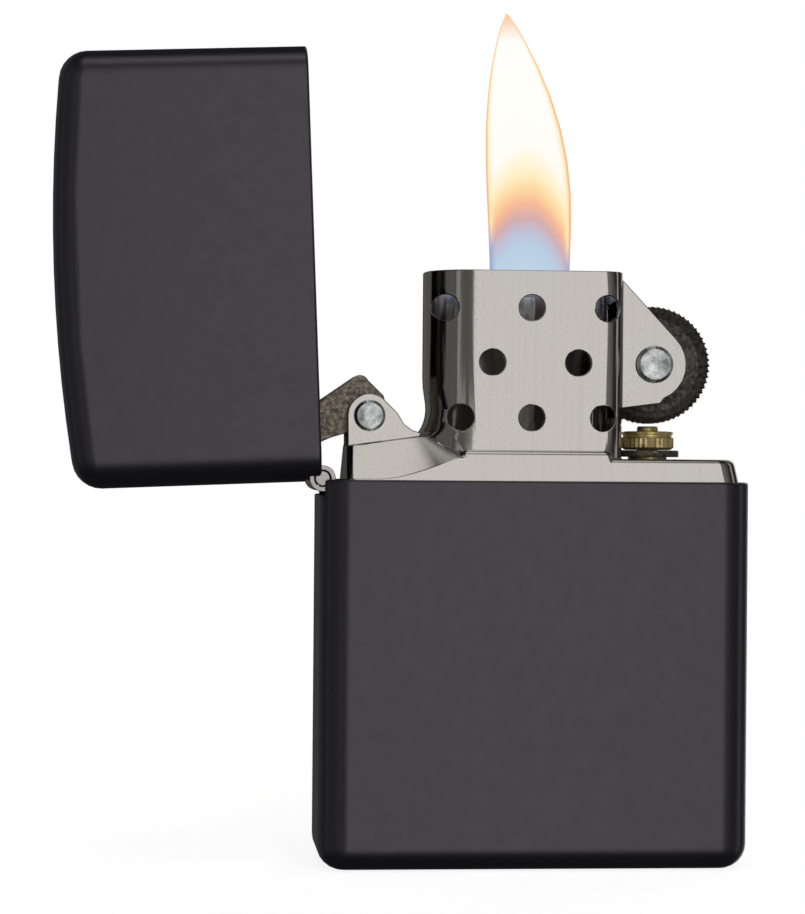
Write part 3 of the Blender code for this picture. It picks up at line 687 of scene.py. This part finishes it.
def stage_floor():
    """A pale floor that runs out of sight and is seen only by the camera."""
    bm = bmesh.new()
    bmesh.ops.create_circle(bm, cap_ends=True, radius=FLOOR_RADIUS, segments=64)
    mesh = bpy.data.meshes.new("floor")
    bm.to_mesh(mesh)
    bm.free()
    floor = bpy.data.objects.new("floor", mesh)
    bpy.context.scene.collection.objects.link(floor)
    floor.location.z = cad_box[0][2] - FLOOR_DROP
    s = Shader("floor_paper")
    s.color(s.ramp(s.noise(3, 2), ((0.3, (0.80, 0.80, 0.80)), (0.7, (0.83, 0.83, 0.83)))))
    s.surface.inputs["Roughness"].default_value = 0.9
    s.surface.inputs["Specular IOR Level"].default_value = 0.1
    s.surface.inputs["Emission Color"].default_value = (1, 1, 1, 1)
    s.surface.inputs["Emission Strength"].default_value = FLOOR_GLOW
    # the paper whitens the picture but sheds no light on the object, so the strips reach below it
    clear = s.tree.nodes.new("ShaderNodeBsdfTransparent")
    pick = s.tree.nodes.new("ShaderNodeMixShader")
    s.link(s.tree.nodes.new("ShaderNodeLightPath").outputs["Is Camera Ray"], pick.inputs["Fac"])
    s.link(clear.outputs["BSDF"], pick.inputs[1])
    s.link(s.surface.outputs["BSDF"], pick.inputs[2])
    s.link(pick.outputs["Shader"], s.tree.nodes["Material Output"].inputs["Surface"])
    mesh.materials.append(s.material)


def studio():
    """A faint fill, a dim panel ahead, a bright one overhead, upright strips, and white for the camera."""
    world = bpy.data.worlds.new("studio")
    bpy.context.scene.world = world
    world.use_nodes = True
    tree = world.node_tree
    tree.nodes.clear()

    def node(kind):
        return tree.nodes.new("ShaderNode" + kind)

    place = node("TexCoord").outputs["Generated"]

    def lobe(direction, start, full, value, seen=place):
        """Light of this value from around a direction, fading in between two cosines."""
        dot = node("VectorMath")
        dot.operation = "DOT_PRODUCT"
        tree.links.new(seen, dot.inputs[0])
        dot.inputs[1].default_value = Vector(direction).normalized()
        fade = node("MapRange")
        fade.interpolation_type = "SMOOTHSTEP"
        fade.inputs["From Min"].default_value = start
        fade.inputs["From Max"].default_value = full
        fade.inputs["To Max"].default_value = value
        tree.links.new(dot.outputs["Value"], fade.inputs["Value"])
        return fade.outputs["Result"]

    upright = node("SeparateXYZ")
    tree.links.new(place, upright.inputs[0])
    around = node("VectorMath")
    around.operation = "MULTIPLY"
    around.inputs[1].default_value = (1, 1, 0)
    tree.links.new(place, around.inputs[0])
    level = node("VectorMath")
    level.operation = "NORMALIZE"
    tree.links.new(around.outputs["Vector"], level.inputs[0])
    shade = node("MapRange")
    shade.inputs["From Min"].default_value, shade.inputs["From Max"].default_value = STRIP_TOP
    shade.inputs["To Min"].default_value, shade.inputs["To Max"].default_value = 1.0, 0.0
    tree.links.new(upright.outputs["Z"], shade.inputs["Value"])
    foot = node("MapRange")
    foot.inputs["From Min"].default_value, foot.inputs["From Max"].default_value = STRIP_FOOT
    tree.links.new(upright.outputs["Z"], foot.inputs["Value"])
    span = node("Math")
    span.operation = "MULTIPLY"
    tree.links.new(shade.outputs["Result"], span.inputs[0])
    tree.links.new(foot.outputs["Result"], span.inputs[1])

    def strip(turn, half, fade, value):
        """An upright strip of light, which ends short of straight up and straight down."""
        away = math.radians(turn)
        glow = lobe(
            (math.sin(away), -math.cos(away), 0), math.cos(math.radians(half + fade)),
            math.cos(math.radians(half)), value, level.outputs["Vector"],
        )
        dim = node("Math")
        dim.operation = "MULTIPLY"
        tree.links.new(glow, dim.inputs[0])
        tree.links.new(span.outputs[0], dim.inputs[1])
        return dim.outputs[0]

    total = None
    lights = [lobe(*light) for light in STUDIO_LIGHTS] + [strip(*light) for light in STUDIO_STRIPS]
    for value in lights:
        if total is not None:
            add = node("Math")
            tree.links.new(total, add.inputs[0])
            tree.links.new(value, add.inputs[1])
            value = add.outputs[0]
        total = value
    glow = node("Background")
    tree.links.new(total, glow.inputs["Strength"])
    white = node("Background")
    white.inputs["Color"].default_value = (1, 1, 1, 1)
    pick = node("MixShader")
    tree.links.new(node("LightPath").outputs["Is Camera Ray"], pick.inputs["Fac"])
    tree.links.new(glow.outputs["Background"], pick.inputs[1])
    tree.links.new(white.outputs["Background"], pick.inputs[2])
    tree.links.new(pick.outputs["Shader"], node("OutputWorld").inputs["Surface"])


def camera():
    data = bpy.data.cameras.new("camera")
    data.sensor_fit = "HORIZONTAL"
    data.sensor_width = SENSOR_WIDTH
    data.lens = FOCAL_PER_WIDTH * SENSOR_WIDTH
    data.clip_start = 0.01
    data.clip_end = 50
    eye = bpy.data.objects.new("camera", data)
    bpy.context.scene.collection.objects.link(eye)
    ahead = Vector((math.sin(CAMERA_YAW), math.cos(CAMERA_YAW), 0))
    level = Vector((math.cos(CAMERA_YAW), -math.sin(CAMERA_YAW), 0))
    up = Vector((0, 0, 1))
    right = level * math.cos(CAMERA_ROLL) + up * math.sin(CAMERA_ROLL)
    top = up * math.cos(CAMERA_ROLL) - level * math.sin(CAMERA_ROLL)
    turn = Matrix((right, top, -ahead)).transposed()
    eye.matrix_world = Matrix.Translation(CAMERA_TARGET - ahead * CAMERA_DISTANCE) @ turn.to_4x4()
    bpy.context.scene.camera = eye


MATERIALS = {
    "enamel": black_enamel(),
    "nickel": nickel(),
    "satin": nickel("satin_steel", (0.48, 0.47, 0.45), (0.34, 0.46), 0.000006),
    "hinge": nickel("hinge_steel", (0.46, 0.445, 0.42), (0.22, 0.32), 0.000005),
    "spring": nickel("spring_steel", (0.50, 0.50, 0.52), (0.25, 0.4), 0.000005),
    "cam": sintered("cam_steel", (0.30, 0.255, 0.205)),
    "washer": sintered("washer_steel", (0.17, 0.15, 0.125), 0.00002),
    "rivet": rivet_steel(),
    "brass": tarnished_brass(),
    "cotton": fibre("cotton_fibre", (0.80, 0.78, 0.72), 2600),
    "felt": fibre("pressed_felt", (0.62, 0.62, 0.60), 3600),
}

FINISHES = {
    "enamel": ("case_shell", "lid_shell"),
    "nickel": ("chimney_top",),
    "satin": ("fuel_tank",),
    "hinge": ("case_hinge_leaf", "lid_hinge_leaf", "hinge_pin"),
    "spring": ("cam_spring",),
    "cam": ("cam",),
    "washer": ("flint_tube_washer",),
    "rivet": ("cam_rivet", "wheel_rivet"),
    "brass": ("flint_tube", "flint", "flint_pusher", "flint_screw"),
}

# width of the rounding on each piece's sharp edges
EDGES = {
    "case_shell": 0.10 * MM, "lid_shell": 0.10 * MM, "chimney_top": 0.10 * MM, "cam": 0.18 * MM,
    "flint_tube_washer": 0.08 * MM, "case_hinge_leaf": 0.05 * MM, "lid_hinge_leaf": 0.05 * MM,
    "hinge_pin": 0.08 * MM, "flint_tube": 0.06 * MM, "flint_screw": 0.08 * MM, "flint": 0.05 * MM,
}

for finish, nodes in FINISHES.items():
    for node in nodes:
        paint(node, MATERIALS[finish])
for node, width in EDGES.items():
    soften(node, width)
striker_wheel()
collar()
for index in range(1, 6):
    wad(f"packing_ball_{index}")
felt()
flint_coil()
braided_wick()
flame()
stage_floor()
studio()
camera()
bpy.context.scene.view_settings.view_transform = "Standard"
